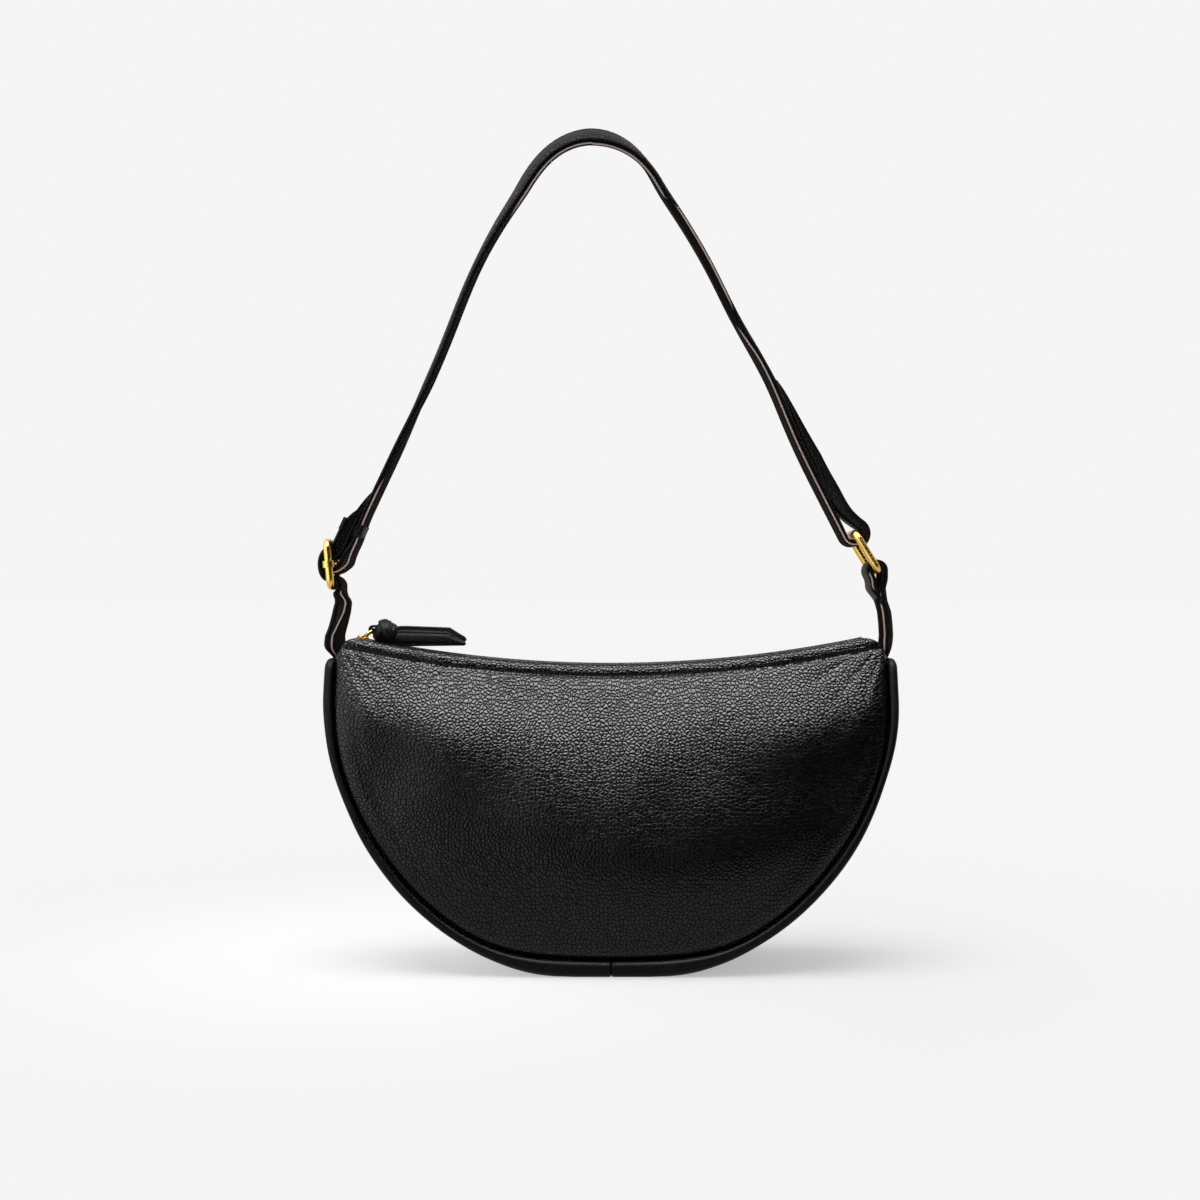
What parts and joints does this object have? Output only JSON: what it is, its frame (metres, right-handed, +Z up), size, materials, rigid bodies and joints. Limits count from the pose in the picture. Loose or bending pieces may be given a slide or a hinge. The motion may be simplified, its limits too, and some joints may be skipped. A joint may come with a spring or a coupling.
{
  "type": "half moon shoulder bag",
  "caption": "Soft half moon leather shoulder bag with a curved zip mouth, knotted zip pull and a swinging shoulder strap with a ring and an adjuster.",
  "frame": {"origin": "middle of the flat base that the bag stands on", "axes": "+X to the right seen from the front, +Y to the back, +Z up"},
  "size_m": [0.2806, 0.0898, 0.4037],
  "materials": {
    "pebbled_leather": "pebbled, satin",
    "smooth_leather": "smooth, satin",
    "strap_leather": "smooth, satin",
    "pale_core": "raw edge",
    "lining_fabric": "woven",
    "zip_fabric": "woven",
    "brass": "polished"
  },
  "bodies": {
    "bag": {"back_panel": "pebbled_leather", "front_panel": "pebbled_leather", "gusset_left": "smooth_leather", "gusset_right": "smooth_leather", "lining_back": "lining_fabric", "lining_front": "lining_fabric", "lining_gusset": "lining_fabric", "zip_stop_left": "brass", "zip_stop_right": "brass", "zip_tape_back": "zip_fabric", "zip_tape_front": "zip_fabric", "zip_teeth_back": "brass", "zip_teeth_front": "brass"},
    "zip_slider": {"zip_slider": "brass"},
    "pull_ring": {"pull_ring": "brass"},
    "leather_pull": {"pull_loop": "strap_leather", "pull_knot": "strap_leather", "pull_tail_front": "strap_leather", "pull_tail_back": "strap_leather"},
    "strap": {"adjuster_bar": "brass", "adjuster_frame": "brass", "lower_strap_core": "pale_core", "lower_strap_cover": "strap_leather", "lower_strap_lining": "strap_leather", "main_strap_core": "pale_core", "main_strap_cover": "strap_leather", "main_strap_lining": "strap_leather", "ring_tab_core": "pale_core", "ring_tab_cover": "strap_leather", "ring_tab_lining": "strap_leather"},
    "keeper": {"strap_keeper": "strap_leather"},
    "ring": {"strap_ring": "brass"}
  },
  "joints": [
    {"name": "zip_run", "type": "hinge", "parent": "bag", "child": "zip_slider", "pos_m": [0, 0, 0.7562], "axis": [0, -1, 0], "range_deg": [0, 18.5]},
    {"name": "pull_ring_swing", "type": "hinge", "parent": "zip_slider", "child": "pull_ring", "pos_m": [-0.12133, 0, 0.15854], "axis": [0, -1, 0], "range_deg": [0, 45]},
    {"name": "leather_pull_swing", "type": "hinge", "parent": "pull_ring", "child": "leather_pull", "pos_m": [-0.11628, 0, 0.16278], "axis": [0, -1, 0], "range_deg": [0, 35]},
    {"name": "strap_swing", "type": "hinge", "parent": "bag", "child": "strap", "pos_m": [0, 0, 0.156], "axis": [1, 0, 0], "range_deg": [-70, 70]},
    {"name": "keeper_slide", "type": "slide", "parent": "strap", "child": "keeper", "axis": [0.4258, 0, 0.9048], "range_m": [-0.005, 0.005]},
    {"name": "ring_rock", "type": "hinge", "parent": "strap", "child": "ring", "pos_m": [0.1292, 0, 0.1915], "axis": [0, 1, 0], "range_deg": [-3, 3]}
  ]
}
